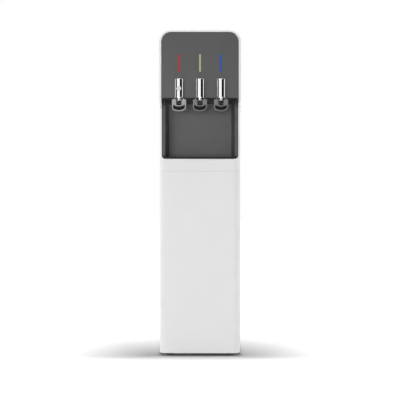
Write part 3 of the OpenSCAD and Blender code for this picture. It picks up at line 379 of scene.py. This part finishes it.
def dress(finishes):
    """Gives each CAD node its material."""
    for material, names in finishes:
        for name in names:
            slots = nodes[name].data.materials
            slots.clear()
            slots.append(material)


def make_camera(front_y):
    """Level camera on the centre line."""
    data = bpy.data.cameras.new("camera")
    data.lens = LENS_MM
    data.sensor_width = SENSOR_MM
    camera = bpy.data.objects.new("camera", data)
    camera.location = (0, front_y - CAMERA_DISTANCE, EYE_HEIGHT)
    camera.rotation_euler = (math.radians(90), 0, 0)
    bpy.context.collection.objects.link(camera)
    bpy.context.scene.camera = camera


def background_ray(tree):
    """1 for rays that should see the white background: camera, mirror and glass rays."""
    ray = tree.nodes.new("ShaderNodeLightPath").outputs
    mirror = number_math(tree, "MAXIMUM", ray["Is Camera Ray"], ray["Is Glossy Ray"])
    return number_math(tree, "MAXIMUM", mirror, ray["Is Transmission Ray"])


def world_fill(tree):
    """Strength of the surroundings as a light: weak before the object, where the front lamp stands."""
    low, high = FILL_TURN
    span = add_node(tree, "ShaderNodeMapRange", From_Min=low, From_Max=high,
                    To_Min=FRONT_FILL, To_Max=BACK_FILL)
    span.interpolation_type = "SMOOTHSTEP"
    tree.links.new(place_along(tree, "Y", "Generated"), span.inputs["Value"])
    return span.outputs["Result"]


def make_world():
    """White background that also lights the object."""
    world = bpy.data.worlds.new("studio")
    bpy.context.scene.world = world
    world.use_nodes = True
    tree = world.node_tree
    light = tree.nodes["Background"]
    light.inputs["Color"].default_value = BACKGROUND
    shown = add_node(tree, "ShaderNodeBackground", Color=BACKGROUND, Strength=1.0)
    mix = tree.nodes.new("ShaderNodeMixShader")
    tree.links.new(world_fill(tree), light.inputs["Strength"])
    tree.links.new(background_ray(tree), mix.inputs["Fac"])
    tree.links.new(light.outputs[0], mix.inputs[1])
    tree.links.new(shown.outputs[0], mix.inputs[2])
    tree.links.new(mix.outputs[0], tree.nodes["World Output"].inputs["Surface"])


def outside_span(tree, place, middle, half):
    """How far a place lies outside a span of one axis, negative inside it."""
    offset = number_math(tree, "SUBTRACT", place, middle)
    return number_math(tree, "SUBTRACT", number_math(tree, "ABSOLUTE", offset), half)


def foot_contact(tree, x, y):
    """0 at the object's foot and 1 beyond the contact shadow round it."""
    left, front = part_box("base_front_panel")[0][:2]
    right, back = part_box("base_rear_panel")[1][:2]
    across = outside_span(tree, x, 0.0, max(right, -left))
    along = outside_span(tree, y, (front + back) / 2, (back - front) / 2)
    outside = number_math(tree, "MAXIMUM", across, along)
    return number_math(tree, "DIVIDE", outside, CONTACT, clamp=True)


def far_glow(tree):
    """0 where the floor keeps its shade, at the object's foot and beside its front, and 1 far away."""
    x, y = place_along(tree, "X"), place_along(tree, "Y")
    beside = number_math(tree, "MAXIMUM", outside_span(tree, x, SHADE_CENTRE[0], SHADE_HALF))
    across = number_math(tree, "DIVIDE", beside, SIDE_FADE)
    depth = number_math(tree, "SUBTRACT", y, SHADE_CENTRE[1])
    along = number_math(tree, "MAXIMUM", number_math(tree, "DIVIDE", depth, BACK_FADE),
                        number_math(tree, "DIVIDE", depth, -FRONT_FADE))
    squares = number_math(tree, "ADD", number_math(tree, "MULTIPLY", across, across),
                          number_math(tree, "MULTIPLY", along, along))
    far = number_math(tree, "SQRT", squares, clamp=True)
    return number_math(tree, "MULTIPLY", far, foot_contact(tree, x, y))


def floor_tone(tree):
    """Colour of the floor: a paler one for the light that it throws back at the object."""
    path = tree.nodes.new("ShaderNodeLightPath")
    mix = tree.nodes.new("ShaderNodeMix")
    mix.data_type = "RGBA"
    mix.inputs["A"].default_value = (*FLOOR_BOUNCE, 1)
    mix.inputs["B"].default_value = (*FLOOR_SEEN, 1)
    tree.links.new(path.outputs["Is Camera Ray"], mix.inputs["Factor"])
    return mix.outputs["Result"]


def floor_white():
    """White floor that keeps the shade; away from the object it shows as the white background."""
    material, tree, surface = blank_material("floor_white")
    diffuse = tree.nodes.new("ShaderNodeBsdfDiffuse")
    lift = add_node(tree, "ShaderNodeEmission", Color=BACKGROUND)
    add = tree.nodes.new("ShaderNodeAddShader")
    strength = number_math(tree, "MULTIPLY", background_ray(tree), far_glow(tree))
    tree.links.new(floor_tone(tree), diffuse.inputs["Color"])
    tree.links.new(strength, lift.inputs["Strength"])
    tree.links.new(diffuse.outputs[0], add.inputs[0])
    tree.links.new(lift.outputs[0], add.inputs[1])
    tree.links.new(add.outputs[0], surface)
    return material


def card_tone(name, value):
    """Even tone that takes no light."""
    material, tree, surface = blank_material(name)
    glow = add_node(tree, "ShaderNodeEmission", Color=(value, value, value, 1), Strength=1.0)
    tree.links.new(glow.outputs[0], surface)
    return material


def make_quad(name, corners, material):
    """Flat piece of the stage with four corners."""
    mesh = bpy.data.meshes.new(name)
    mesh.from_pydata(corners, [], [(0, 1, 2, 3)])
    mesh.materials.append(material)
    quad = bpy.data.objects.new(name, mesh)
    bpy.context.collection.objects.link(quad)
    return quad


def make_floor():
    """Floor under the feet."""
    h = FLOOR_SIZE / 2
    floor = make_quad("floor", [(-h, -h, 0), (h, -h, 0), (h, h, 0), (-h, h, 0)], floor_white())
    floor.location = (0, 0, -FLOOR_DROP)


def make_area(name, location, target, width, height, watts):
    """Rectangular soft light aimed at a point."""
    data = bpy.data.lights.new(name, "AREA")
    data.shape = "RECTANGLE"
    data.size = width
    data.size_y = height
    data.energy = watts
    lamp = bpy.data.objects.new(name, data)
    lamp.location = location
    lamp.visible_camera = False
    aim = Vector(target) - Vector(location)
    lamp.rotation_euler = aim.to_track_quat("-Z", "Y").to_euler()
    bpy.context.collection.objects.link(lamp)


def make_card(name, degrees, width, value):
    """Upright card that faces the object, and that only reflections see."""
    w, h = width / 2, CARD_HEIGHT / 2
    corners = [(-w, 0, -h), (w, 0, -h), (w, 0, h), (-w, 0, h)]
    card = make_quad(name, corners, card_tone(name, value))
    turn = math.radians(degrees)
    card.location = (CARD_DISTANCE * math.sin(turn), -CARD_DISTANCE * math.cos(turn), CARD_MIDDLE)
    card.rotation_euler = (0, 0, turn)
    card.visible_camera = False
    card.visible_diffuse = False
    card.visible_shadow = False


def light_scene():
    """Soft studio light: pale surroundings, a floor, lamps in front, above and beside, and two cards."""
    make_world()
    make_floor()
    for lamp in LAMPS:
        make_area(*lamp)
    for card in CARDS:
        make_card(*card)


scene = bpy.context.scene
scene.view_settings.view_transform = "Standard"
dress(casing_finishes() + tap_finishes() + inner_finishes())
make_camera(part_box("base_front_panel")[0][1])
light_scene()
